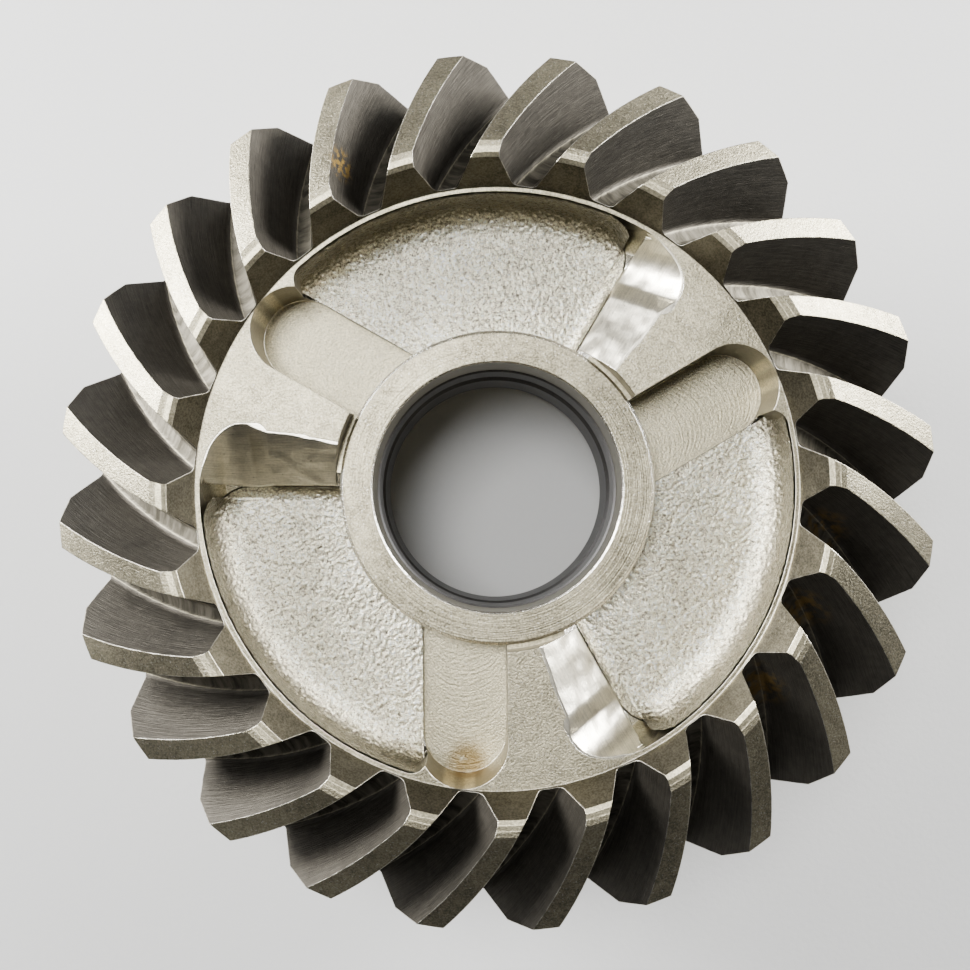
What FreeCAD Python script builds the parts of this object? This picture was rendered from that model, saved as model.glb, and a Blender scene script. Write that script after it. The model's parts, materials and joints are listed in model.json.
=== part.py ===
import FreeCAD, Part
import math
import os

# A spiral bevel gear with three clutch lugs, carried by a deep-groove ball bearing.
# All sizes are millimetres. Z is the gear's axis, z = 0 is the rear face of the hub and of
# the bearing, and +Z points to the toothed face. Angles run counter-clockwise from +X.

Vector = FreeCAD.Vector
ORIGIN = Vector(0, 0, 0)
UP = Vector(0, 0, 1)

# Heights along the axis
LUG_Z = 28.5             # top of the clutch lugs
HUB_Z = LUG_Z - 2.3      # front face of the hub
RELIEF_Z = LUG_Z - 2.9   # floor of the narrow ring between hub and lugs
SLOT_Z = LUG_Z - 7.6     # floor of the milled slots
POCKET_Z = LUG_Z - 7.2   # floor of the forged pockets
BACK_Z = LUG_Z - 12.2    # rear face of the web

# Teeth: 6 diametral pitch, cut by a face mill, shafts at 90 degrees
TEETH = 24
PINION_TEETH = 13
MODULE = 25.4 / 6.0
ADDENDUM = 2.43
DEDENDUM = 5.56
FACE_ANGLE_ADDED = math.radians(3.2)   # face cone against pitch cone
FACE_WIDTH = 16.0
SPIRAL_ANGLE = math.radians(31.0)      # at the middle of the face
CUTTER_RADIUS = 53.0
BLADE_TIP_WIDTH = 2.3
BLADE_ANGLE = math.radians(22.0)
BLADE_CORNER_RADIUS = 0.8
BLADE_HEIGHT = 13.0
CUTTER_SWEEP = 34.0                    # degrees of the cutter's ring that pass a gap
GAP_START = 9.8                        # where the inner end of the first gap lies
APEX_ABOVE_LUGS = 23.25                # pitch apex over the lug tops
CROWN_RADIUS = 50.5
TOE_FLAT_Z = LUG_Z + 4.35              # turned flat on the inner tip of every tooth
TOE_FLAT_RADIUS = 36.9
TOE_CHAMFER_RADIUS = 36.4
TOE_CHAMFER_Z = LUG_Z + 4.1
RIM_RADIUS = 34.4                      # foot of the teeth at the lug plane

# Hub and bore
HUB_RADIUS = 18.3
LUG_INNER_RADIUS = 18.86
LIP_RADIUS = 14.5                      # plain lip in front of the bushes
LIP_LENGTH = 5.8
BUSH_BORE_RADIUS = 14.2875             # 1-1/8 in shaft
BUSH_WALL = 1.5
BUSH_RADIUS = BUSH_BORE_RADIUS + BUSH_WALL
BUSH_CHAMFER = 0.4
FRONT_BUSH_LENGTH = 5.0
REAR_BUSH_LENGTH = 8.0
REAR_BUSH_Z = 4.75
BORE_CHAMFER = 0.2
HUB_CHAMFER = 0.35
REAR_CHAMFER = 0.8
BOSS_RADIUS = 24.0                     # shoulder that the shim and the bearing sit against
BOSS_CHAMFER = 1.0
BACK_CHAMFER = 0.6

# Clutch lugs: slot, forged pocket and milled ramp, three times round
LUGS = 3
SLOT_ANGLE = 30.5
SLOT_WIDTH = 10.0
SLOT_SIDE = 0.93                       # square wall of the slot, beside the radial line
SLOT_REACH = 29.1                      # centre of the slot's round end
POCKET_ANGLE = 59.5                    # straight side of the pocket, at the foot of the ramp
POCKET_RADIUS = 33.9
POCKET_INTO_SLOT = 1.0
POCKET_INTO_HUB = 1.0                  # stock the pocket tool passes over, inside the hub
POCKET_CORNER = 4.2
POCKET_SLOT_CORNER = 2.0
POCKET_FILLET = 1.5
RAMP_SLOPE = math.radians(40.0)
RAMP_RUN = 7.0                         # plan length of the deepest, outer pass
RAMP_OVERRUN = 2.0                     # how far the passes run on into the pocket
RAMP_CORNER = 4.6                      # rounding up to the rim
RAMP_STEPS = (                         # along the radius: distance from the axis, height
    (17.5, 1.41), (21.5, 1.00),        # inner pass
    (22.6, 0.80), (26.4, 0.58),        # middle pass
    (27.7, 0.00), (29.3, 0.00),        # outer pass
)

# Ball bearing 40 x 68 x 15 and its shim
BEARING_BORE_RADIUS = 20.0
BEARING_RADIUS = 34.0
BEARING_WIDTH = 15.0
BALL_COUNT = 12
BALL_RADIUS = 7.938 / 2
BALL_PITCH_RADIUS = 27.0
RACEWAY_RADIUS = 4.0
INNER_SHOULDER_RADIUS = 24.0
OUTER_SHOULDER_RADIUS = 30.0
RACE_CHAMFER = 0.8
RACE_EDGE = 0.3
CAGE_INNER_RADIUS = 25.5
CAGE_OUTER_RADIUS = 28.5
CAGE_SHEET = 0.8
CAGE_CLEARANCE = 0.12
RIVET_RADIUS = 0.65
RIVET_HEAD_RADIUS = 1.15
RIVET_HEAD_HEIGHT = 0.5
SHIM_THICKNESS = 0.5
SHIM_OUTER_RADIUS = 23.6

# Worked out from the above
SHOULDER_Z = BEARING_WIDTH + SHIM_THICKNESS
BEARING_MIDDLE_Z = BEARING_WIDTH / 2
PITCH_RADIUS = TEETH * MODULE / 2
PITCH_ANGLE = math.atan2(TEETH, PINION_TEETH)
CONE_DISTANCE = PITCH_RADIUS / math.sin(PITCH_ANGLE)
DEDENDUM_ANGLE = math.atan(DEDENDUM / CONE_DISTANCE)
ROOT_ANGLE = PITCH_ANGLE - DEDENDUM_ANGLE
FACE_ANGLE = PITCH_ANGLE + FACE_ANGLE_ADDED
APEX_Z = LUG_Z + APEX_ABOVE_LUGS
HEEL_Z = APEX_Z - CONE_DISTANCE * math.cos(PITCH_ANGLE)
SLOT_RADIUS = SLOT_WIDTH / 2
SLOT_MIDDLE = SLOT_SIDE - SLOT_RADIUS
CLEAR = 10.0                           # how far a cutting tool stands out of the metal
SAME_PLACE = 0.01                      # two points closer than this coincide


def polar(radius, degrees, z=0.0):
    """Point at a radius and an angle round the axis."""
    angle = math.radians(degrees)
    return Vector(radius * math.cos(angle), radius * math.sin(angle), z)


def lathe(profile):
    """Solid turned from a closed outline of (radius, z) points."""
    points = [Vector(radius, 0, z) for radius, z in profile]
    outline = Part.makePolygon(points + points[:1])
    return Part.Face(outline).revolve(ORIGIN, UP, 360)


def turned(shape, degrees):
    """Copy of a shape, turned round the axis."""
    copy = shape.copy()
    copy.rotate(ORIGIN, UP, degrees)
    return copy


def ring(inner, outer, low, high):
    """Plain ring round the axis."""
    return lathe([(inner, low), (outer, low), (outer, high), (inner, high)])


def gear_blank():
    """The turned blank: toothed cone, lug plane, hub, web, shoulder and stepped bore."""
    tip_radius = PITCH_RADIUS + ADDENDUM * math.cos(PITCH_ANGLE)
    tip_z = HEEL_Z + ADDENDUM * math.sin(PITCH_ANGLE)
    face_slope = 1 / math.tan(FACE_ANGLE)
    crown_z = tip_z + (tip_radius - CROWN_RADIUS) * face_slope
    flat_outer = tip_radius - (TOE_FLAT_Z - tip_z) / face_slope
    back_slope = math.tan(PITCH_ANGLE)
    crown_low_z = HEEL_Z - (PITCH_RADIUS - CROWN_RADIUS) * back_slope
    back_radius = PITCH_RADIUS - (HEEL_Z - BACK_Z) / back_slope
    lip_z = HUB_Z - LIP_LENGTH
    blank = lathe([
        (BUSH_RADIUS + REAR_CHAMFER, 0),
        (BUSH_RADIUS, REAR_CHAMFER),
        (BUSH_RADIUS, lip_z),
        (LIP_RADIUS, lip_z),
        (LIP_RADIUS, HUB_Z - BORE_CHAMFER),
        (LIP_RADIUS + BORE_CHAMFER, HUB_Z),
        (HUB_RADIUS - HUB_CHAMFER, HUB_Z),
        (HUB_RADIUS, HUB_Z - HUB_CHAMFER),
        (HUB_RADIUS, RELIEF_Z),
        (LUG_INNER_RADIUS, RELIEF_Z),
        (LUG_INNER_RADIUS, LUG_Z),
        (RIM_RADIUS, LUG_Z),
        (TOE_CHAMFER_RADIUS, TOE_CHAMFER_Z),
        (TOE_FLAT_RADIUS, TOE_FLAT_Z),
        (flat_outer, TOE_FLAT_Z),
        (CROWN_RADIUS, crown_z),
        (CROWN_RADIUS, crown_low_z),
        (back_radius + BACK_CHAMFER / back_slope, BACK_Z + BACK_CHAMFER),
        (back_radius - BACK_CHAMFER, BACK_Z),
        (BOSS_RADIUS + BOSS_CHAMFER, BACK_Z),
        (BOSS_RADIUS, SHOULDER_Z),
        (BEARING_BORE_RADIUS, SHOULDER_Z),
        (BEARING_BORE_RADIUS, REAR_CHAMFER),
        (BEARING_BORE_RADIUS - REAR_CHAMFER, 0),
    ])
    return blank


def gap_cutter():
    """What the face mill's blades sweep in one gap: a piece of a ring with sloping sides."""
    along = Vector(math.sin(ROOT_ANGLE), 0, -math.cos(ROOT_ANGLE))
    axis = Vector(math.cos(ROOT_ANGLE), 0, math.sin(ROOT_ANGLE))
    across = Vector(0, 1, 0)
    root_distance = CONE_DISTANCE / math.cos(DEDENDUM_ANGLE) - FACE_WIDTH / 2
    middle = Vector(0, 0, APEX_Z) + along * root_distance
    outward = along * math.sin(SPIRAL_ANGLE) + across * math.cos(SPIRAL_ANGLE)
    centre = middle - outward * CUTTER_RADIUS

    def blade(side, height):
        return middle + outward * side + axis * height

    half = BLADE_TIP_WIDTH / 2
    spread = math.tan(BLADE_ANGLE)
    tangent = BLADE_CORNER_RADIUS / math.tan(math.pi / 4 + BLADE_ANGLE / 2)
    flat_half = half - tangent
    wall_side = half + tangent * math.sin(BLADE_ANGLE)
    wall_height = tangent * math.cos(BLADE_ANGLE)
    to_corner = math.hypot(tangent, BLADE_CORNER_RADIUS)
    bend_side = flat_half + tangent * BLADE_CORNER_RADIUS / to_corner
    bend_height = BLADE_CORNER_RADIUS - BLADE_CORNER_RADIUS ** 2 / to_corner
    top_side = half + BLADE_HEIGHT * spread
    edges = [
        Part.makeLine(blade(-flat_half, 0), blade(flat_half, 0)),
        Part.Arc(blade(flat_half, 0), blade(bend_side, bend_height),
                 blade(wall_side, wall_height)).toShape(),
        Part.makeLine(blade(wall_side, wall_height), blade(top_side, BLADE_HEIGHT)),
        Part.makeLine(blade(top_side, BLADE_HEIGHT), blade(-top_side, BLADE_HEIGHT)),
        Part.makeLine(blade(-top_side, BLADE_HEIGHT), blade(-wall_side, wall_height)),
        Part.Arc(blade(-wall_side, wall_height), blade(-bend_side, bend_height),
                 blade(-flat_half, 0)).toShape(),
    ]
    section = Part.Face(Part.Wire(edges))
    section.rotate(centre, axis, -CUTTER_SWEEP / 2)
    return section.revolve(centre, axis, CUTTER_SWEEP)


def gap_angle_offset():
    """Angle between a gap's inner end at the rim and its middle."""
    root_distance = CONE_DISTANCE / math.cos(DEDENDUM_ANGLE) - FACE_WIDTH / 2
    toe_distance = RIM_RADIUS / math.sin(ROOT_ANGLE)
    toe_along = toe_distance - root_distance + CUTTER_RADIUS * math.sin(SPIRAL_ANGLE)
    toe_turn = math.asin(toe_along / CUTTER_RADIUS)
    toe_across = CUTTER_RADIUS * (math.cos(toe_turn) - math.cos(SPIRAL_ANGLE))
    return math.degrees(math.atan2(toe_across, RIM_RADIUS))


def slot_cutter():
    """Milled slot with a round end, beside the radial line at angle 0."""
    height = LUG_Z + CLEAR - SLOT_Z
    bar = Part.makeBox(SLOT_REACH, SLOT_WIDTH, height,
                       Vector(0, SLOT_SIDE - SLOT_WIDTH, SLOT_Z))
    end = Part.makeCylinder(SLOT_RADIUS, height, Vector(SLOT_REACH, SLOT_MIDDLE, SLOT_Z))
    return bar.fuse(end).removeSplitter()


def pocket_cutter():
    """Forged pocket from the foot of one ramp to the next slot, with a filleted floor."""
    side = POCKET_ANGLE
    next_slot = SLOT_ANGLE + 360 / LUGS
    reach = SLOT_WIDTH - SLOT_SIDE - POCKET_INTO_SLOT
    inner = HUB_RADIUS - POCKET_INTO_HUB
    outer_end = next_slot - math.degrees(math.asin(reach / POCKET_RADIUS))
    inner_end = next_slot - math.degrees(math.asin(reach / inner))
    corners = [polar(inner, side, POCKET_Z), polar(POCKET_RADIUS, side, POCKET_Z),
               polar(POCKET_RADIUS, outer_end, POCKET_Z), polar(inner, inner_end, POCKET_Z)]
    outer_bend = polar(POCKET_RADIUS, (side + outer_end) / 2, POCKET_Z)
    inner_bend = polar(inner, (side + inner_end) / 2, POCKET_Z)
    edges = [
        Part.makeLine(corners[0], corners[1]),
        Part.Arc(corners[1], outer_bend, corners[2]).toShape(),
        Part.makeLine(corners[2], corners[3]),
        Part.Arc(corners[3], inner_bend, corners[0]).toShape(),
    ]
    block = Part.Face(Part.Wire(edges)).extrude(UP * (LUG_Z + CLEAR - POCKET_Z))
    block = block.makeFillet(POCKET_CORNER, upright_edges(block, corners[1]))
    block = block.makeFillet(POCKET_SLOT_CORNER, upright_edges(block, corners[2]))
    floor_edges = [edge for edge in block.Edges if edge.BoundBox.ZMax < POCKET_Z + SAME_PLACE]
    return block.makeFillet(POCKET_FILLET, floor_edges)


def upright_edges(block, corner):
    """The vertical edge of a block that stands on a corner."""
    found = []
    for edge in block.Edges:
        start = edge.Vertexes[0].Point
        end = edge.Vertexes[-1].Point
        offset = math.hypot(start.x - corner.x, start.y - corner.y)
        if offset < SAME_PLACE and abs(start.z - end.z) > SAME_PLACE:
            found.append(edge)
    return found


def ramp_cutter():
    """Ramp that falls from the lug top to the pocket, milled in three stepped passes."""
    foot = math.radians(POCKET_ANGLE)
    out = Vector(math.cos(foot), math.sin(foot), 0)
    back = Vector(math.sin(foot), -math.cos(foot), 0)
    rise = back * math.cos(RAMP_SLOPE) + UP * math.sin(RAMP_SLOPE)
    lift = UP * math.cos(RAMP_SLOPE) - back * math.sin(RAMP_SLOPE)
    start = UP * (LUG_Z - RAMP_RUN * math.tan(RAMP_SLOPE)) - rise * RAMP_OVERRUN
    length = RAMP_OVERRUN + (RAMP_RUN + CLEAR) / math.cos(RAMP_SLOPE)

    def place(distance, height):
        return start + out * distance + lift * height

    edges = []
    for index, (point, following) in enumerate(zip(RAMP_STEPS[:-1], RAMP_STEPS[1:])):
        if index % 2 == 0:
            edges.append(Part.makeLine(place(*point), place(*following)))
        else:
            edges.append(step_arc(place, point, following))
    corner, floor = RAMP_STEPS[-1]
    top = floor + RAMP_CORNER + CLEAR
    bend = RAMP_CORNER * math.sqrt(0.5)
    edge = (corner + RAMP_CORNER, floor + RAMP_CORNER)
    edges.append(Part.Arc(place(corner, floor),
                          place(corner + bend, floor + RAMP_CORNER - bend),
                          place(*edge)).toShape())
    edges.append(Part.makeLine(place(*edge), place(edge[0], top)))
    edges.append(Part.makeLine(place(edge[0], top), place(RAMP_STEPS[0][0], top)))
    edges.append(Part.makeLine(place(RAMP_STEPS[0][0], top), place(*RAMP_STEPS[0])))
    passes = Part.Face(Part.Wire(edges)).extrude(rise * length)
    room = Part.makeCylinder(POCKET_RADIUS, LUG_Z + CLEAR - BACK_Z, UP * BACK_Z)
    return passes.common(room)


def step_arc(place, high, low):
    """Hollow corner that one pass leaves beside the next: level at its low end."""
    run = low[0] - high[0]
    drop = high[1] - low[1]
    radius = (run ** 2 + drop ** 2) / (2 * drop)
    half = math.asin(run / radius) / 2
    bend = (low[0] - radius * math.sin(half), low[1] + radius * (1 - math.cos(half)))
    return Part.Arc(place(*high), place(*bend), place(*low)).toShape()


def bevel_gear():
    """The forged and cut gear: teeth, three clutch lugs, hub and web in one piece."""
    gap = gap_cutter()
    pitch = 360 / TEETH
    first = GAP_START - gap_angle_offset()
    gear = gear_blank().cut([turned(gap, first + pitch * place) for place in range(TEETH)])
    hub = Part.makeCylinder(HUB_RADIUS, LUG_Z + CLEAR)
    slot = turned(slot_cutter(), SLOT_ANGLE).cut(hub)
    pocket = pocket_cutter().cut(hub)
    ramp = ramp_cutter().cut(hub)
    tools = []
    for place in range(LUGS):
        for tool in (slot, pocket, ramp):
            tools.append(turned(tool, place * 360 / LUGS))
    return gear.cut(tools)


def bush(low, length):
    """Pressed-in bush with chamfered mouths."""
    high = low + length
    mouth = BUSH_BORE_RADIUS + BUSH_CHAMFER
    return lathe([
        (mouth, low),
        (BUSH_RADIUS, low),
        (BUSH_RADIUS, high),
        (mouth, high),
        (BUSH_BORE_RADIUS, high - BUSH_CHAMFER),
        (BUSH_BORE_RADIUS, low + BUSH_CHAMFER),
    ])


def backlash_shim():
    """Thin ring between the gear's shoulder and the bearing."""
    return ring(BEARING_BORE_RADIUS, SHIM_OUTER_RADIUS, BEARING_WIDTH, SHOULDER_Z)


def raceway():
    """Groove that the balls run in, as a full ring to be cut away."""
    circle = Part.makeCircle(RACEWAY_RADIUS, Vector(BALL_PITCH_RADIUS, 0, BEARING_MIDDLE_Z),
                             Vector(0, 1, 0))
    return Part.Face(Part.Wire([circle])).revolve(ORIGIN, UP, 360)


def bearing_race(bore, shoulder):
    """One race: a chamfered ring with the ball groove in its shoulder side."""
    inner = min(bore, shoulder)
    outer = max(bore, shoulder)
    inner_cut = RACE_CHAMFER if inner == bore else RACE_EDGE
    outer_cut = RACE_CHAMFER if outer == bore else RACE_EDGE
    blank = lathe([
        (inner + inner_cut, 0),
        (outer - outer_cut, 0),
        (outer, outer_cut),
        (outer, BEARING_WIDTH - outer_cut),
        (outer - outer_cut, BEARING_WIDTH),
        (inner + inner_cut, BEARING_WIDTH),
        (inner, BEARING_WIDTH - inner_cut),
        (inner, inner_cut),
    ])
    return blank.cut(raceway())


def ball_place(index):
    """Centre of one ball."""
    return polar(BALL_PITCH_RADIUS, index * 360 / BALL_COUNT, BEARING_MIDDLE_Z)


def cage_half(front):
    """Half of the riveted sheet cage: flats between the balls and a cup round each ball."""
    cup_inner = BALL_RADIUS + CAGE_CLEARANCE
    cup_outer = cup_inner + CAGE_SHEET
    low = BEARING_MIDDLE_Z if front else BEARING_MIDDLE_Z - CAGE_SHEET
    flat = ring(CAGE_INNER_RADIUS, CAGE_OUTER_RADIUS, low, low + CAGE_SHEET)
    side_low = BEARING_MIDDLE_Z if front else 0
    side = ring(CAGE_INNER_RADIUS, CAGE_OUTER_RADIUS, side_low, side_low + BEARING_MIDDLE_Z)
    cups = [Part.makeSphere(cup_outer, ball_place(index)) for index in range(BALL_COUNT)]
    hollows = [Part.makeSphere(cup_inner, ball_place(index)) for index in range(BALL_COUNT)]
    holes = [rivet_cylinder(index, RIVET_RADIUS, low, CAGE_SHEET) for index in range(BALL_COUNT)]
    shell = Part.makeCompound(cups).common(side)
    return flat.fuse(shell.Solids).cut(hollows + holes)


def rivet_cylinder(index, radius, low, height):
    """Cylinder at a rivet's place, halfway between two balls."""
    place = polar(BALL_PITCH_RADIUS, (index + 0.5) * 360 / BALL_COUNT, low)
    return Part.makeCylinder(radius, height, place)


def cage_rivets():
    """The rivets that hold the cage halves together, as separate solids."""
    rivets = []
    low = BEARING_MIDDLE_Z - CAGE_SHEET
    high = BEARING_MIDDLE_Z + CAGE_SHEET
    for index in range(BALL_COUNT):
        shank = rivet_cylinder(index, RIVET_RADIUS, low, high - low)
        lower = rivet_cylinder(index, RIVET_HEAD_RADIUS, low - RIVET_HEAD_HEIGHT, RIVET_HEAD_HEIGHT)
        upper = rivet_cylinder(index, RIVET_HEAD_RADIUS, high, RIVET_HEAD_HEIGHT)
        rivets.append(shank.fuse([lower, upper]).removeSplitter())
    return Part.makeCompound(rivets)


def assembly():
    """Every piece by name."""
    pieces = {
        "bevel_gear": bevel_gear(),
        "front_bush": bush(HUB_Z - LIP_LENGTH - FRONT_BUSH_LENGTH, FRONT_BUSH_LENGTH),
        "rear_bush": bush(REAR_BUSH_Z, REAR_BUSH_LENGTH),
        "backlash_shim": backlash_shim(),
        "bearing_inner_race": bearing_race(BEARING_BORE_RADIUS, INNER_SHOULDER_RADIUS),
        "bearing_outer_race": bearing_race(BEARING_RADIUS, OUTER_SHOULDER_RADIUS),
        "cage_front_half": cage_half(True),
        "cage_rear_half": cage_half(False),
        "cage_rivets": cage_rivets(),
    }
    for index in range(BALL_COUNT):
        pieces[f"bearing_ball_{index + 1:02d}"] = Part.makeSphere(BALL_RADIUS, ball_place(index))
    return pieces


os.makedirs("parts", exist_ok=True)
for name, shape in assembly().items():
    shape.exportStep(f"parts/{name}.step")
    box = shape.BoundBox
    print(f"{name}: valid {shape.isValid()}, solids {len(shape.Solids)}, volume {shape.Volume:.1f},"
          f" z {box.ZMin:.2f} to {box.ZMax:.2f}, width {box.XLength:.2f}")
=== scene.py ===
import json
import math
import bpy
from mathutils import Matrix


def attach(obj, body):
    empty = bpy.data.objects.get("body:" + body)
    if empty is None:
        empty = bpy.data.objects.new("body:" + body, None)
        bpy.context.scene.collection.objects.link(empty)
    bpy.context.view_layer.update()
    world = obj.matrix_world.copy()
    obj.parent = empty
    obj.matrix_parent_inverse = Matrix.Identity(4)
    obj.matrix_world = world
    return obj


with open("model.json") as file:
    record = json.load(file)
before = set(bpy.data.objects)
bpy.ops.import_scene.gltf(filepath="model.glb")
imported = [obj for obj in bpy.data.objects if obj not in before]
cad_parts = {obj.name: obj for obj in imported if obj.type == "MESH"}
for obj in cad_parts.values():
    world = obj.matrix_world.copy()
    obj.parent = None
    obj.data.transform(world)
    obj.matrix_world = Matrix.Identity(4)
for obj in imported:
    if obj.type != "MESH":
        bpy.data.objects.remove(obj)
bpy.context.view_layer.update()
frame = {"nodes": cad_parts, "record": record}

from types import SimpleNamespace

import bpy
from mathutils import Vector, noise

# Sizes are millimetres until they are turned into Blender's metres by MM.
MM = 0.001

# Heights above the rear face.
LUG_Z = 28.5
HUB_Z = 26.2
SLOT_Z = 20.9
POCKET_Z = 21.3
TOOTH_FOOT_Z = 18.0
APEX_Z = 51.75                                   # where the pitch cone meets the axis

# Distances from the axis.
LINING_RADIUS = 15.2                             # outside of the bushes' dark lining
HUB_RADIUS = 18.3
LUG_INNER_RADIUS = 18.86
POCKET_RADIUS = 33.9
RIM_RADIUS = 34.4                                # foot of the teeth at the lug plane
CROWN_RADIUS = 50.5

PITCH_ANGLE = math.atan2(24, 13)                 # teeth of the gear and of its pinion
LUG_TURNS = (0, 120, 240)
THIRD = math.radians(120)

# One clutch slot: its direction in degrees, and its place beside that direction.
SLOT_ANGLE = 30.5
SLOT_MIDDLE = -4.07
SLOT_EDGE = -9.07
SLOT_RADIUS = 5.0

# One pocket, from its ramp side round to its slot side, in degrees.
POCKET_SIDE_ANGLE = 59.5
POCKET_SLOT_ANGLE = 150.5
POCKET_CORNER = 4.2

# The ramp on the pocket's side. The steps give a distance from the axis and the height of the
# cutter's pass there over the deepest pass.
RAMP_SLOPE = math.radians(40)
RAMP_FOOT_Z = LUG_Z - 7.0 * math.tan(RAMP_SLOPE)
RAMP_OVERRUN = 2.0 * math.cos(RAMP_SLOPE)
RAMP_CORNER = 4.6
RAMP_STEPS = ((17.5, 1.41), (21.5, 1.00), (22.6, 0.80), (26.4, 0.58), (27.7, 0.0), (29.3, 0.0))
RAMP_CORNER_START = RAMP_STEPS[-1][0]

# The milled ramp sheet.
RAMP_CELL = 0.13
RAMP_RUN = 10.5                                  # longest way down the sheet
RAMP_SOFT = 0.9                                  # reach of the cutter's rounded nose
RAMP_LIFT = 0.03                                 # clearance over the CAD face
RAMP_WAVE = 0.14
RAMP_SCRATCH = 0.012
RAMP_TOP_GAP = 0.12                              # from the lug's edge to the sheet's first row
RAMP_INNER_GAP = 0.03
RAMP_OUTER_GAP = 0.04
RAMP_SETTLE = 14                                 # passes that settle a row's place along its arc

# The forged skin sheet.
SKIN_CELL = 0.15
SKIN_COLUMN_SHARE = 0.92                         # most rows are shorter than the widest one
SKIN_LIFT = 0.035                                # clearance over the CAD face
SKIN_RELIEF = 0.34
SKIN_NOISE = ((2.3, 0.60), (5.1, 0.20), (0.45, 0.30))  # grains per millimetre, share of relief
SKIN_APART = 40.0                                # between the pockets' stretches of noise
SKIN_RIM_GAP = 0.12
SKIN_SIDE_HEIGHT = 3.4
RIM_FILLET = 3.6
SIDE_FILLET = 1.9


# --- forged skin of the pockets and milled face of the ramps --------------------------

def unit_noise(spot):
    """Smooth noise from 0 to 1."""
    return 0.5 + 0.5 * noise.noise(spot)


def skin_profile(excess, fillet, height):
    """Inward set-back, height and slope at a distance run up the pocket's edge."""
    bend = fillet * math.pi / 2
    if excess <= 0:
        return fillet - excess, 0.0, 0.0
    if excess < bend:
        turn = excess / fillet
        return fillet * (1 - math.sin(turn)), fillet * (1 - math.cos(turn)), turn
    rise = min(fillet + excess - bend, height)
    return 0.0, rise, math.pi / 2


def ramp_lift(distance):
    """Height of the ramp's passes over its deepest one, at a distance from the axis."""
    if distance > RAMP_CORNER_START:
        across = min(distance - RAMP_CORNER_START, RAMP_CORNER)
        return RAMP_CORNER - math.sqrt(RAMP_CORNER ** 2 - across ** 2)
    # Even stretches are straight passes, odd ones the bends down to the next pass.
    for place in range(len(RAMP_STEPS) - 1):
        (low, high_side), (high, low_side) = RAMP_STEPS[place:place + 2]
        if distance > high:
            continue
        if place % 2 == 0:
            return high_side + (low_side - high_side) * (distance - low) / (high - low)
        run, drop = high - low, high_side - low_side
        bend = (run ** 2 + drop ** 2) / (2 * drop)
        return low_side + bend - math.sqrt(bend ** 2 - (high - distance) ** 2)


def ramp_height(lift, ahead):
    """Height of a ramp's face, at a lift over the deepest pass and a place along its fall."""
    return RAMP_FOOT_Z + lift / math.cos(RAMP_SLOPE) - ahead * math.tan(RAMP_SLOPE)


def soft_lift(distance):
    """The ramp's passes with their steps rounded by the cutter's nose, never under the CAD."""
    near_corner = min(max(RAMP_CORNER_START - distance, 0.0), 1.0)
    moved = distance - RAMP_SOFT * near_corner
    spread = [ramp_lift(moved + RAMP_SOFT * (step / 4)) for step in range(-4, 5)]
    return max(sum(spread) / len(spread), ramp_lift(distance))


def ramp_skin(index, turn):
    """The milled face of one ramp: the cutter's soft passes, slightly wavy."""
    rows = int(RAMP_RUN / RAMP_CELL)
    columns = int((POCKET_RADIUS - LUG_INNER_RADIUS) / RAMP_CELL)
    points = []
    for row in range(rows + 1):
        for column in range(columns + 1):
            ahead = -4.0                         # a first guess, which the loop settles
            for _ in range(RAMP_SETTLE):
                low = math.sqrt((LUG_INNER_RADIUS + RAMP_INNER_GAP) ** 2 - ahead ** 2)
                high = math.sqrt((POCKET_RADIUS - RAMP_OUTER_GAP) ** 2 - ahead ** 2)
                distance = low + (high - low) * column / columns
                above_lug = ramp_height(ramp_lift(distance), 0) - LUG_Z
                top = above_lug / math.tan(RAMP_SLOPE) - RAMP_TOP_GAP
                ahead = (ahead + top + (RAMP_OVERRUN - top) * row / rows) / 2
            # Slow waves, and fine scratches across the fall, different on each ramp.
            wave = unit_noise(Vector((distance * 0.55, ahead * 0.8, 30.0 * index)))
            scratch = unit_noise(Vector((distance * 0.7, ahead * 5.0, 9.0 * index)))
            lift = soft_lift(distance) + RAMP_LIFT + RAMP_WAVE * wave + RAMP_SCRATCH * scratch
            z = min(ramp_height(lift, ahead), LUG_Z - RAMP_LIFT)
            if 0 < ahead < SIDE_FILLET:
                bend = SIDE_FILLET - math.sqrt(SIDE_FILLET ** 2 - (SIDE_FILLET - ahead) ** 2)
                z = min(z, POCKET_Z + bend + RAMP_LIFT)
            points.append((distance, ahead, z))
    return sheet_piece("milled_ramp_%d" % (index + 1), points, columns + 1,
                       turn + POCKET_SIDE_ANGLE)


def sheet_piece(name, points, width, turn):
    """A sheet of points in rows, turned round the axis, as a piece that rides on the gear."""
    faces = []
    for first in range(len(points) - width):
        if (first + 1) % width:
            faces.append((first, first + width, first + width + 1, first + 1))
    cosine = math.cos(math.radians(turn))
    sine = math.sin(math.radians(turn))
    turned = [((x * cosine - y * sine) * MM, (x * sine + y * cosine) * MM, z * MM)
              for x, y, z in points]
    mesh = bpy.data.meshes.new(name)
    mesh.from_pydata(turned, [], faces)
    mesh.validate()
    mesh.shade_smooth()
    piece = bpy.data.objects.new(name, mesh)
    bpy.context.scene.collection.objects.link(piece)
    clean = piece.modifiers.new("clean", "WELD")
    clean.merge_threshold = 0.01 * MM
    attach(piece, "gear")
    return piece


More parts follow.
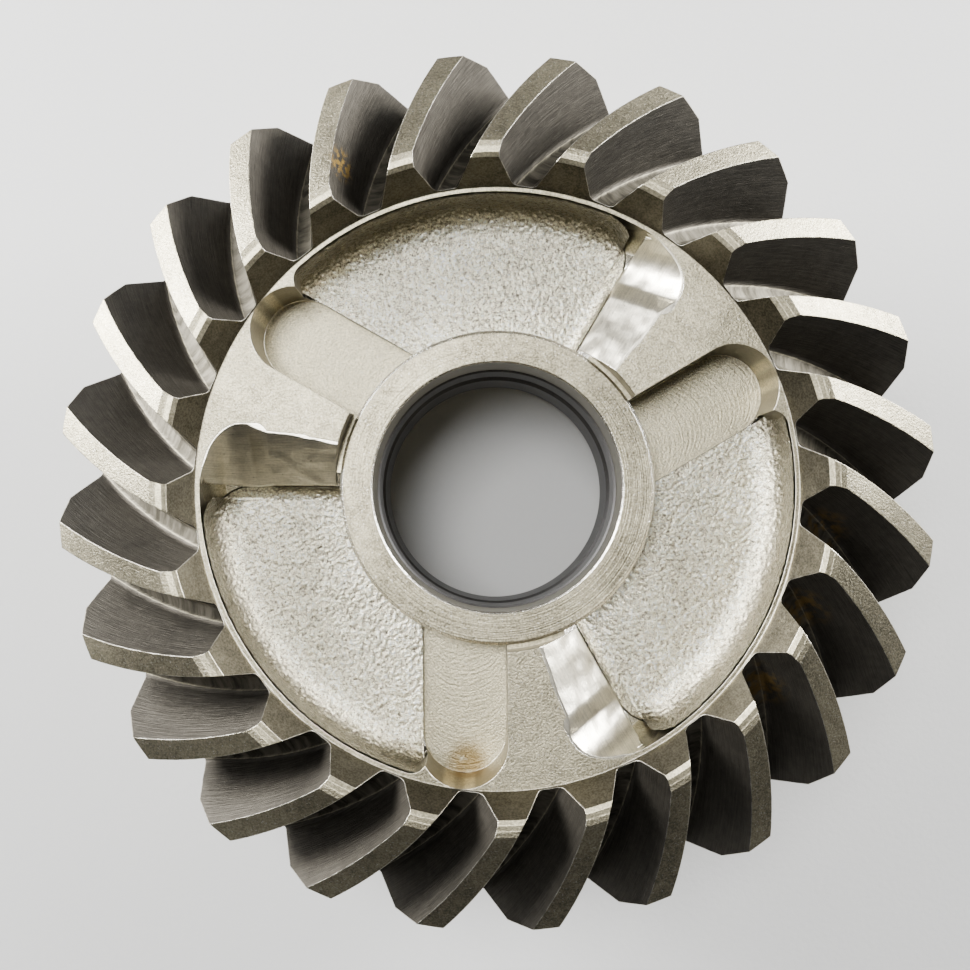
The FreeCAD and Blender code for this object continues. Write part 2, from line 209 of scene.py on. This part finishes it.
def skin_point(radius, angle, seed):
    """Place on the skin for a point of the pocket's plan, laid out flat past its walls.

    The plan has three regions: the outer wall, the straight ramp side, and the corner
    between them.
    """
    side = math.radians(POCKET_SIDE_ANGLE)
    flat = Vector((radius * math.cos(angle), radius * math.sin(angle)))
    along = Vector((math.cos(side), math.sin(side)))
    across = Vector((-math.sin(side), math.cos(side)))
    corner_reach = POCKET_RADIUS - POCKET_CORNER
    corner = along * math.sqrt(corner_reach ** 2 - POCKET_CORNER ** 2) + across * POCKET_CORNER
    from_corner = flat - corner
    rim_height = LUG_Z - SKIN_RIM_GAP - POCKET_Z
    if angle > math.atan2(corner.y, corner.x):
        out = flat.normalized()
        fillet = RIM_FILLET
        reach = radius - (POCKET_RADIUS - fillet)
        base = out * POCKET_RADIUS
        height = rim_height
    elif from_corner.dot(along) < 0:
        out = -across
        fillet = SIDE_FILLET
        reach = fillet - flat.dot(across)
        base = along * flat.dot(along)
        height = SKIN_SIDE_HEIGHT
    else:
        out = from_corner.normalized()
        share = (-across).angle(out) / (-across).angle(corner)
        fillet = SIDE_FILLET + (RIM_FILLET - SIDE_FILLET) * min(share, 1.0)
        reach = from_corner.length - (POCKET_CORNER - fillet)
        base = corner + out * POCKET_CORNER
        height = rim_height
    back, rise, turn = skin_profile(reach, fillet, height)
    if reach <= 0:
        place = flat
    else:
        place = base - out * back
    spot = Vector((place.x, place.y, rise)) + Vector((0, 0, SKIN_APART * seed))
    relief = sum(share * unit_noise(spot * scale) for scale, share in SKIN_NOISE)
    lift = SKIN_LIFT + SKIN_RELIEF * relief
    place = place - out * lift * math.sin(turn)
    z = POCKET_Z + rise + lift * math.cos(turn)
    ahead = place.dot(across)
    distance = place.dot(along)
    if ahead < RAMP_OVERRUN and distance < POCKET_RADIUS:
        z = min(z, ramp_height(ramp_lift(distance), ahead))
    return place.x, place.y, z


def forged_skin(index, turn):
    """The rough forged surface of one pocket: floor, bend and walls as one sheet."""
    rim_bend = RIM_FILLET * (math.pi / 2 - 1)
    outer = POCKET_RADIUS + rim_bend + LUG_Z - SKIN_RIM_GAP - POCKET_Z - RIM_FILLET
    side_reach = SIDE_FILLET * (math.pi / 2 - 1) + SKIN_SIDE_HEIGHT - SIDE_FILLET
    rows = int((outer - HUB_RADIUS) / SKIN_CELL)
    widest = math.radians(POCKET_SLOT_ANGLE - POCKET_SIDE_ANGLE) * POCKET_RADIUS
    columns = int(widest / SKIN_CELL * SKIN_COLUMN_SHARE)
    points = []
    for row in range(rows + 1):
        radius = HUB_RADIUS + (outer - HUB_RADIUS) * row / rows
        low = math.radians(POCKET_SIDE_ANGLE) - math.asin(side_reach / radius)
        high_radius = min(radius, POCKET_RADIUS)
        high = math.radians(POCKET_SLOT_ANGLE) + math.asin(SLOT_EDGE / high_radius)
        for column in range(columns + 1):
            angle = low + (high - low) * column / columns
            points.append(skin_point(radius, angle, index + 1))
    return sheet_piece("forged_skin_%d" % (index + 1), points, columns + 1, turn)


# --- node fields ----------------------------------------------------------------------

class Field:
    """A number that varies over a surface, worked out by nodes."""

    def __init__(self, tree, socket):
        self.tree = tree
        self.socket = socket

    def node(self, kind, values, output=0, **settings):
        """A new node of a kind, with fields or constants on its inputs, as a field."""
        made = self.tree.nodes.new(kind)
        for key, value in settings.items():
            setattr(made, key, value)
        for place, value in values.items():
            if isinstance(value, Field):
                self.tree.links.new(value.socket, made.inputs[place])
            else:
                made.inputs[place].default_value = value
        return Field(self.tree, made.outputs[output])

    def math(self, operation, *others):
        values = dict(enumerate((self,) + others))
        return self.node("ShaderNodeMath", values, operation=operation)

    def __add__(self, other):
        return self.math("ADD", other)

    def __sub__(self, other):
        return self.math("SUBTRACT", other)

    def __mul__(self, other):
        return self.math("MULTIPLY", other)

    def __truediv__(self, other):
        return self.math("DIVIDE", other)

    def flip(self):
        return self * -1.0 + 1.0

    def size(self):
        return self.math("ABSOLUTE")

    def rise(self, low, high):
        """0 below low, 1 above high, smooth between."""
        values = {"Value": self, "From Min": low, "From Max": high}
        return self.node("ShaderNodeMapRange", values, interpolation_type="SMOOTHSTEP")

    def fall(self, low, high):
        return self.rise(low, high).flip()

    def band(self, low, high, soft):
        return self.rise(low - soft, low) * self.fall(high, high + soft)


class Surface:
    """A material under construction, with the fields that every finish here draws on."""

    def __init__(self, name):
        self.material = bpy.data.materials.new(name)
        self.material.use_nodes = True
        self.tree = self.material.node_tree
        self.shader = self.tree.nodes["Principled BSDF"]
        coordinates = self.tree.nodes.new("ShaderNodeTexCoord")
        place = Field(self.tree, coordinates.outputs["Object"])
        normal = Field(self.tree, coordinates.outputs["Normal"])
        self.place = self.vector_math("SCALE", place, scale=1 / MM)
        self.x, self.y, self.z = self.split(self.place)
        self.nx, self.ny, self.nz = self.split(normal)
        self.radius = (self.x * self.x + self.y * self.y).math("SQRT")
        self.angle = self.y.math("ARCTAN2", self.x)
        self.outward = (self.nx * self.x + self.ny * self.y) / self.radius
        self.sideways = (self.ny * self.x - self.nx * self.y) / self.radius

    def vector_math(self, operation, *values, scale=None):
        made = self.tree.nodes.new("ShaderNodeVectorMath")
        made.operation = operation
        for place, value in enumerate(values):
            if isinstance(value, Field):
                self.tree.links.new(value.socket, made.inputs[place])
            else:
                made.inputs[place].default_value = value
        if scale is not None:
            made.inputs["Scale"].default_value = scale
        output = "Value" if operation in ("DOT_PRODUCT", "LENGTH", "DISTANCE") else "Vector"
        return Field(self.tree, made.outputs[output])

    def split(self, field):
        made = self.tree.nodes.new("ShaderNodeSeparateXYZ")
        self.tree.links.new(field.socket, made.inputs[0])
        return [Field(self.tree, made.outputs[place]) for place in range(3)]

    def join(self, x, y, z):
        return self.x.node("ShaderNodeCombineXYZ", {0: x, 1: y, 2: z})

    def at_height(self, z):
        """1 at a height, within a twentieth of a millimetre."""
        return self.z.band(z - 0.05, z + 0.05, 0.02)

    def turn_from(self, degrees):
        """Angle past a direction, the same in each third of the gear."""
        return (self.angle - math.radians(degrees)).math("WRAP", THIRD / 2, -THIRD / 2)

    def noise(self, scale, detail=3.0, rough=0.55, at=None, warp=0.0):
        """Noise with features about 1/scale of a unit of at wide, from 0 to 1."""
        values = {"Vector": at or self.place, "Scale": scale, "Detail": detail,
                  "Roughness": rough, "Distortion": warp}
        return self.x.node("ShaderNodeTexNoise", values)

    def near(self, x, y, z, reach):
        """1 at a place, falling to 0 at a distance."""
        away = self.vector_math("DISTANCE", self.place, (x, y, z))
        return away.fall(reach * 0.3, reach)

    def edge_wear_and_highlight(self, width):
        """1 on sharp edges, fading out within a width."""
        round_node = self.tree.nodes.new("ShaderNodeBevel")
        round_node.samples = 6
        round_node.inputs["Radius"].default_value = width * MM
        geometry = self.tree.nodes.new("ShaderNodeNewGeometry")
        rounded = Field(self.tree, round_node.outputs[0])
        true = Field(self.tree, geometry.outputs["Normal"])
        return self.vector_math("DOT_PRODUCT", rounded, true).fall(0.90, 0.995), rounded

    def mix(self, share, first, second):
        made = self.tree.nodes.new("ShaderNodeMix")
        made.data_type = "RGBA"
        self.tree.links.new(share.socket, made.inputs["Factor"])
        for place, value in ((6, first), (7, second)):
            if isinstance(value, Field):
                self.tree.links.new(value.socket, made.inputs[place])
            else:
                made.inputs[place].default_value = (*value, 1.0)
        return Field(self.tree, made.outputs[2])

    def shade(self, colour, brightness):
        """A colour, made lighter or darker by a field."""
        return self.vector_math("MULTIPLY", colour, self.join(brightness, brightness, brightness))

    def bump(self, height, depth, base=None):
        """Normal from a height field of 0 to 1 that stands for depth millimetres."""
        made = self.tree.nodes.new("ShaderNodeBump")
        made.inputs["Distance"].default_value = depth * MM
        made.inputs["Strength"].default_value = 1.0
        self.tree.links.new(height.socket, made.inputs["Height"])
        if base is not None:
            self.tree.links.new(base.socket, made.inputs["Normal"])
        return Field(self.tree, made.outputs[0])

    def finish(self, colour=None, rough=None, normal=None, **constants):
        for key, value in (("Base Color", colour), ("Roughness", rough), ("Normal", normal)):
            if value is not None:
                self.tree.links.new(value.socket, self.shader.inputs[key])
        for key, value in constants.items():
            self.shader.inputs[key.replace("_", " ").title()].default_value = value
        return self.material


# --- finishes -------------------------------------------------------------------------

WARM_STEEL = (0.64, 0.577, 0.400)
# The next four colours are painted shade: on the tooth flanks, the teeth's inward ends, the roots
# and the steep inner walls.
FLANK_SHADE_TINT = (0.043, 0.039, 0.032)
TOE_SHADE_TINT = (0.050, 0.046, 0.038)
ROOT_SHADE_TINT = (0.080, 0.073, 0.058)
WALL_SHADE_TINT = (0.085, 0.078, 0.063)
RAMP_TINT = (0.86, 0.83, 0.75)
PIT_TINT = (0.10, 0.09, 0.075)
GLINT_TINT = (0.86, 0.83, 0.76)
WORN_EDGE_AND_HIGHLIGHT_TINT = (0.72, 0.69, 0.61)
OIL_TINT = (0.20, 0.125, 0.03)

FEED_STEP = 0.62                                 # between the end mill's arcs on a slot floor

# Dried oil, one stain a row: direction in degrees, distance from the axis, height, reach,
# blotches per millimetre, noise at which a blotch starts and is full, strength.
OIL_STAINS = (
    (-96.24, 33.1, 21.4, 3.6, 0.7, 0.25, 0.50, 0.80),
    (-8.0, 37.5, 26.5, 4.2, 0.8, 0.42, 0.62, 0.65),
    (-22.0, 37.5, 26.5, 4.2, 0.8, 0.42, 0.62, 0.65),
    (-37.0, 37.5, 26.5, 4.2, 0.8, 0.42, 0.62, 0.65),
    (116.0, 40.5, 30.0, 2.6, 1.6, 0.45, 0.62, 0.80),
)


def gear_zones(s):
    """Masks, from 0 to 1, of the gear's differently made surfaces."""
    zones = SimpleNamespace()
    # Height over the pitch cone, square to it.
    zones.height = s.radius * math.cos(PITCH_ANGLE) + (s.z - APEX_Z) * math.sin(PITCH_ANGLE)
    toothed = (s.radius.rise(RIM_RADIUS - 0.1, RIM_RADIUS + 0.02)
               * s.z.rise(TOOTH_FOOT_Z, TOOTH_FOOT_Z + 0.5))
    within_crown = s.radius.fall(CROWN_RADIUS - 0.05, CROWN_RADIUS - 0.01)
    zones.flank = s.sideways.size().rise(0.22, 0.40) * toothed * within_crown
    no_flank = zones.flank.flip()
    zones.land = zones.height.rise(1.2, 1.35) * s.nz.rise(0.84, 0.88) * no_flank
    zones.root = zones.height.fall(-2.3, -1.8) * s.nz.rise(0.55, 0.65) * toothed * no_flank
    zones.toe = s.outward.fall(-0.8, -0.55) * toothed
    zones.level = s.nz.rise(0.985, 0.995)
    zones.lug_top = zones.level * s.at_height(LUG_Z)
    zones.hub_top = (zones.level * s.at_height(HUB_Z)
                     * s.radius.fall(HUB_RADIUS + 0.1, HUB_RADIUS + 0.2))
    zones.slot_floor = zones.level * s.at_height(SLOT_Z)
    zones.ramp = (s.nz.band(0.62, 0.95, 0.03) * s.z.band(SLOT_Z + 0.2, LUG_Z - 0.01, 0.01)
                  * s.radius.fall(POCKET_RADIUS - 0.1, POCKET_RADIUS + 0.05))
    inside = (s.radius.fall(RIM_RADIUS - 0.4, RIM_RADIUS - 0.2)
              * s.z.rise(SLOT_Z - 0.9, SLOT_Z - 0.4))
    zones.wall = s.nz.size().fall(0.3, 0.5) * inside
    return zones


def slot_arcs(s):
    """Marks of the end mill on a slot's floor: even arcs, and fine uneven lines along them."""
    turn = s.turn_from(SLOT_ANGLE)
    across = s.radius * turn.math("SINE") - SLOT_MIDDLE
    bow = (across * across * -1.0 + SLOT_RADIUS ** 2).math("MAXIMUM", 0.0).math("SQRT")
    place = s.radius * turn.math("COSINE") - bow + s.noise(0.5, 1.0) * 0.25
    arcs = (place * (2 * math.pi / FEED_STEP)).math("SINE") * 0.5 + 0.5
    lines = s.noise(1.0, 2.0, 0.6, at=s.join(place * 5.0, across * 0.25, 0.0))
    return arcs, lines


def oil_stains(s):
    """Dried oil at the end of one slot and in some gaps between the teeth."""
    total = None
    for degrees, distance, z, reach, blotches, start, full, strength in OIL_STAINS:
        turn = math.radians(degrees)
        near = s.near(distance * math.cos(turn), distance * math.sin(turn), z, reach)
        stain = near * s.noise(blotches, 3.0).rise(start, full) * strength
        total = stain if total is None else total + stain
    return total.math("MINIMUM", 1.0)


def gear_finish():
    """Forged, turned, milled and ground surfaces of the gear, each in its place."""
    s = Surface("gear_steel_finish")
    on = gear_zones(s)

    grain = s.noise(4.2, 4.0, 0.62)
    mottle = s.noise(0.85, 3.0, 0.6)
    patch = s.noise(0.09, 2.0, 0.5)
    pits = s.noise(5.5, 2.0, 0.5).rise(0.60, 0.68)
    glint_specks = s.noise(4.8, 1.0, 0.5).rise(0.66, 0.72)
    along_tooth = s.join(on.height * 9.0, s.radius * 0.35, s.angle * 8.0)
    flank_lines = s.noise(1.0, 3.0, 0.6, at=along_tooth, warp=0.3)
    round_axis = s.join(s.radius * 6.0, s.z * 6.0, s.angle * 0.6)
    rings = s.noise(1.0, 2.0, 0.6, at=round_axis)
    arcs, arc_lines = slot_arcs(s)
    down_ramp = s.turn_from(POCKET_SIDE_ANGLE - 15) * s.radius
    streaks = s.noise(1.0, 3.0, 0.6, at=s.join(s.radius * 0.5, down_ramp * 4.5, 0.0), warp=0.2)
    edge, rounded = s.edge_wear_and_highlight(0.14)
    edge = edge * mottle.rise(0.25, 0.6)

    tone = (mottle.rise(0.3, 0.7) * 0.20 + grain.rise(0.34, 0.66) * 0.46
            + patch.rise(0.3, 0.7) * 0.26 + 0.36)
    # On the tooth lands the tone is darkened: painted shade, in place of the dark surroundings
    # they would reflect.
    tone = (tone - on.hub_top * 0.24) * (on.land * -0.46 + 1.0)
    flank_tone = (flank_lines.rise(0.25, 0.75) * 0.55 + mottle.rise(0.3, 0.7) * 0.25
                  + patch.rise(0.3, 0.7) * 0.4 + 0.55)
    root_tone = flank_lines.rise(0.3, 0.7) * 1.3 + 0.30
    slot_tone = (arc_lines.rise(0.3, 0.7) * 0.16 + arcs * 0.03
                 + grain.rise(0.34, 0.66) * 0.40 + 0.74)

    colour = s.shade(WARM_STEEL, tone)
    # The tooth flanks get a very dark colour: painted shade, and a painted dark reflection in
    # place of the bright floor they face.
    colour = s.mix(on.flank, colour, s.shade(FLANK_SHADE_TINT, flank_tone))
    # The inward end faces of the teeth get a very dark colour: painted shade.
    colour = s.mix(on.toe * 0.85, colour, s.shade(TOE_SHADE_TINT, tone))
    # The roots between the teeth get a dark colour: painted shade in the gaps.
    colour = s.mix(on.root * 0.96, colour, s.shade(ROOT_SHADE_TINT, root_tone))
    # The steep inner walls get a dark colour: painted shade in the recesses.
    colour = s.mix(on.wall * 0.72, colour, WALL_SHADE_TINT)
    colour = s.mix(on.ramp, colour, s.shade(RAMP_TINT, streaks * 0.5 + 0.62))
    colour = s.mix(on.slot_floor * 0.8, colour, s.shade(WARM_STEEL, slot_tone))
    pitted = on.lug_top + on.land * 0.7
    colour = s.mix(pits * pitted * 0.5, colour, PIT_TINT)
    # Bright specks mixed into the colour on the flat faces: painted glints.
    glint_places = on.lug_top + on.hub_top + on.land * 0.6 + on.slot_floor * 0.5
    colour = s.mix(glint_specks * glint_places * 0.6, colour, GLINT_TINT)
    colour = s.mix(oil_stains(s), colour, OIL_TINT)
    # Edges lightened in colour: partly real wear, partly a painted highlight.
    colour = s.mix(edge * 0.6, colour, WORN_EDGE_AND_HIGHLIGHT_TINT)

    rough = (grain * 0.16 + 0.25 + patch * 0.08 + on.flank * 0.20 + on.root * 0.20
             - on.ramp * 0.12)
    grainy = (on.lug_top + on.land + on.level * 0.4).math("MINIMUM", 1.0)
    slot_relief = arcs * 0.08 + arc_lines * 0.35 + grain * 0.6
    relief = (grain * grainy * 0.55 + mottle * 0.25 + flank_lines * (on.flank + on.root) * 0.6
              + rings * on.hub_top * 0.35 + slot_relief * on.slot_floor * 0.9
              + streaks * on.ramp * 0.8)
    normal = s.bump(relief, 0.110, rounded)
    return s.finish(colour, rough, normal, metallic=1.0)


def skin_finish():
    """Shot-blasted forging skin: grains lighter and hollows darker, partly random tone, partly
    painted highlight and shade.
    """
    s = Surface("forged_skin_finish")
    grain = s.noise(2.4, 3.0, 0.6)
    fine = s.noise(5.0, 3.0, 0.6)
    patch = s.noise(0.12, 2.0)
    # Colour follows the bump's noise, lighter on the grains and darker in the hollows: partly
    # random tone, partly painted highlight and shade.
    tone = (grain.rise(0.36, 0.60) * 0.62 + fine.rise(0.38, 0.60) * 0.56
            + patch.rise(0.3, 0.7) * 0.15 + 0.20)
    colour = s.shade((0.97, 0.89, 0.68), tone)
    wall = s.nz.fall(0.40, 0.90)
    # The skin's steep walls get a dark colour: painted shade in the pocket's recess.
    colour = s.mix(wall * 0.80, colour, (0.06, 0.054, 0.042))
    rough = fine * 0.22 + 0.20
    normal = s.bump(grain * 0.7 + fine * 0.3, 0.30)
    return s.finish(colour, rough, normal, metallic=1.0)


def ramp_finish():
    """Bright milled ramp with fine feed lines along the radius."""
    s = Surface("milled_ramp_finish")
    turn = s.turn_from(POCKET_SIDE_ANGLE)
    ahead = s.radius * turn.math("SINE")
    distance = s.radius * turn.math("COSINE")
    lines = s.noise(1.0, 3.0, 0.6, at=s.join(distance * 0.45, ahead * 7.0, 0.0), warp=0.2)
    grain = s.noise(4.0, 3.0, 0.6)
    patch = s.noise(0.35, 2.0)
    tone = lines.rise(0.3, 0.7) * 0.22 + grain.rise(0.3, 0.7) * 0.14 + patch * 0.2 + 0.62
    colour = s.shade((0.92, 0.865, 0.71), tone)
    rough = lines * 0.14 + grain * 0.08 + 0.20
    normal = s.bump(lines * 0.7 + grain * 0.3, 0.035)
    return s.finish(colour, rough, normal, metallic=1.0)


def ring_finish(name, tint, lines, depth, rough_base, **constants):
    """Turned or ground steel with fine rings round the axis."""
    s = Surface(name)
    at = s.join(s.radius * lines, s.z * lines, s.angle * 0.8)
    rings = s.noise(1.0, 3.0, 0.6, at=at)
    mottle = s.noise(0.8, 3.0)
    smear = s.noise(0.15, 2.0)
    edge, rounded = s.edge_wear_and_highlight(0.15)
    tone = rings * 0.25 + mottle * 0.3 + smear * 0.3 + 0.55
    colour = s.shade(tint, tone)
    # Edges lightened in colour: partly real wear, partly a painted highlight.
    colour = s.mix(edge * 0.5, colour, tuple(min(1.0, channel * 1.3) for channel in tint))
    rough = rings * 0.12 + mottle * 0.1 + rough_base
    normal = s.bump(rings, depth, rounded)
    return s.finish(colour, rough, normal, **constants)


def ball_finish():
    """Polished balls, lightly hazed and scuffed."""
    s = Surface("ball_steel_finish")
    haze = s.noise(0.9, 3.0)
    scuff = s.noise(7.0, 3.0)
    colour = s.shade((0.80, 0.80, 0.82), haze * 0.15 + scuff * 0.1 + 0.86)
    rough = scuff * 0.06 + haze * 0.05 + 0.06
    return s.finish(colour, rough, s.bump(scuff, 0.002), metallic=1.0)


def sheet_finish(name, tint):
    """Pressed or rolled sheet: faint rolling lines one way, with a tumbled mottle."""
    s = Surface(name)
    lines = s.noise(1.0, 3.0, 0.6, at=s.join(s.x * 0.5, s.y * 9.0, s.z * 2.0))
    mottle = s.noise(1.6, 3.0)
    dents = s.noise(4.0, 2.0)
    edge, rounded = s.edge_wear_and_highlight(0.12)
    colour = s.shade(tint, lines * 0.2 + mottle * 0.35 + 0.68)
    # Edges lightened in colour: partly real wear, partly a painted highlight.
    colour = s.mix(edge * 0.5, colour, (0.75, 0.75, 0.74))
    rough = mottle * 0.2 + lines * 0.1 + 0.24
    normal = s.bump(lines * 0.4 + dents * 0.6, 0.015, rounded)
    return s.finish(colour, rough, normal, metallic=1.0)


def lining_finish():
    """Dark sliding lining on the bush's running face, steel back elsewhere."""
    s = Surface("bush_lining_finish")
    speck = s.noise(3.5, 3.0, 0.7)
    smear = s.noise(1.0, 2.0, at=s.join(s.angle * 1.2, s.z * 1.5, s.radius))
    running = s.radius.fall(LINING_RADIUS, LINING_RADIUS + 0.3)
    dark = s.shade((0.045, 0.043, 0.042), speck * 0.9 + smear * 0.7 + 0.3)
    dark = s.mix(speck.rise(0.66, 0.74) * 0.6, dark, (0.30, 0.24, 0.16))
    back = s.shade((0.45, 0.44, 0.42), smear * 0.4 + 0.7)
    colour = s.mix(running, back, dark)
    metal = running.flip() * 0.9 + 0.1
    s.tree.links.new(metal.socket, s.shader.inputs["Metallic"])
    rough = speck * 0.2 + 0.38
    return s.finish(colour, rough, s.bump(speck, 0.01))


def floor_finish():
    """Plain pale studio floor, with a little unevenness."""
    s = Surface("floor_finish")
    cloud = s.noise(0.02, 3.0)
    tooth = s.noise(1.2, 2.0)
    colour = s.shade((0.62, 0.62, 0.61), cloud * 0.08 + tooth * 0.04 + 0.94)
    return s.finish(colour, tooth * 0.1 + 0.7, s.bump(tooth, 0.02))


def dress(piece, material):
    """Gives every face of a piece one finish."""
    piece.data.materials.clear()
    piece.data.materials.append(material)


gear_steel = gear_finish()
race_steel = ring_finish("race_steel_finish", (0.38, 0.38, 0.385),
                         lines=6.0, depth=0.012, rough_base=0.17, metallic=1.0)
shim_steel = sheet_finish("shim_steel_finish", (0.52, 0.52, 0.51))
cage_steel = sheet_finish("cage_steel_finish", (0.47, 0.47, 0.46))
rivet_steel = sheet_finish("rivet_steel_finish", (0.50, 0.49, 0.47))
ball_steel = ball_finish()
bush_lining = lining_finish()
finishes = {"gear_steel": gear_steel, "race_steel": race_steel, "shim_steel": shim_steel,
            "cage_steel": cage_steel, "rivet_steel": rivet_steel, "ball_steel": ball_steel,
            "bush_lining": bush_lining}
for part in frame["record"]["subparts"]:
    dress(frame["nodes"][part["node"]], finishes[part["material_slot"]])

skin_steel = skin_finish()
ramp_steel = ramp_finish()
for index, turn in enumerate(LUG_TURNS):
    dress(forged_skin(index, turn), skin_steel)
    dress(ramp_skin(index, turn), ramp_steel)


# --- floor, light and camera ----------------------------------------------------------

# The camera's place in millimetres and its turn in degrees, at the photograph's angle.
CAMERA_PLACE = (-1.77, -3.69, 143.23)
CAMERA_TURN = (1.91, -0.156, 0.0)
CAMERA_LENS = 37.48
CAMERA_SENSOR = 36


def studio_floor(half, gap):
    """Flat square sheet, a small gap under the part's rear face."""
    mesh = bpy.data.meshes.new("floor")
    corners = [(-half, -half, -gap), (half, -half, -gap), (half, half, -gap), (-half, half, -gap)]
    mesh.from_pydata(corners, [], [(0, 1, 2, 3)])
    piece = bpy.data.objects.new("floor", mesh)
    bpy.context.scene.collection.objects.link(piece)
    dress(piece, floor_finish())


def soft_box(name, azimuth, elevation, distance, size, power):
    """Soft light aimed at the part from a direction in degrees and a distance in metres."""
    lamp = bpy.data.lights.new(name, "AREA")
    lamp.shape = "RECTANGLE"
    lamp.size, lamp.size_y = size
    lamp.energy = power
    holder = bpy.data.objects.new(name, lamp)
    bpy.context.scene.collection.objects.link(holder)
    turn = math.radians(azimuth)
    flat = distance * math.cos(math.radians(elevation))
    rise = distance * math.sin(math.radians(elevation))
    away = Vector((flat * math.cos(turn), flat * math.sin(turn), rise))
    holder.location = Vector((0, 0, LUG_Z * MM)) + away
    holder.rotation_euler = (-away).to_track_quat("-Z", "Y").to_euler()


def studio_world(glow, strength, backdrop):
    """Faint light from all round, and a plain pale backdrop past the floor's edge."""
    world = bpy.data.worlds.new("studio")
    world.use_nodes = True
    tree = world.node_tree
    around = tree.nodes["Background"]
    around.inputs["Color"].default_value = (*glow, 1.0)
    around.inputs["Strength"].default_value = strength
    seen = tree.nodes.new("ShaderNodeBackground")
    seen.inputs["Color"].default_value = (*backdrop, 1.0)
    rays = tree.nodes.new("ShaderNodeLightPath")
    either = tree.nodes.new("ShaderNodeMixShader")
    tree.links.new(rays.outputs["Is Camera Ray"], either.inputs["Fac"])
    tree.links.new(around.outputs[0], either.inputs[1])
    tree.links.new(seen.outputs[0], either.inputs[2])
    tree.links.new(either.outputs[0], tree.nodes["World Output"].inputs[0])
    bpy.context.scene.world = world


studio_floor(half=0.5, gap=0.02 * MM)
soft_box("left_box", azimuth=152, elevation=17, distance=0.5, size=(0.26, 0.22), power=12.0)
soft_box("right_box", azimuth=30, elevation=15, distance=0.5, size=(0.22, 0.18), power=9.0)
soft_box("overhead", azimuth=137, elevation=72, distance=0.7, size=(0.29, 0.29), power=4.8)
studio_world(glow=(1.0, 0.985, 0.955), strength=0.03, backdrop=(0.74, 0.74, 0.73))

lens = bpy.data.cameras.new("camera")
lens.lens = CAMERA_LENS
lens.sensor_width = CAMERA_SENSOR
lens.clip_start = 0.005
camera = bpy.data.objects.new("camera", lens)
camera.location = [place * MM for place in CAMERA_PLACE]
camera.rotation_euler = [math.radians(turn) for turn in CAMERA_TURN]
bpy.context.scene.collection.objects.link(camera)
bpy.context.scene.camera = camera
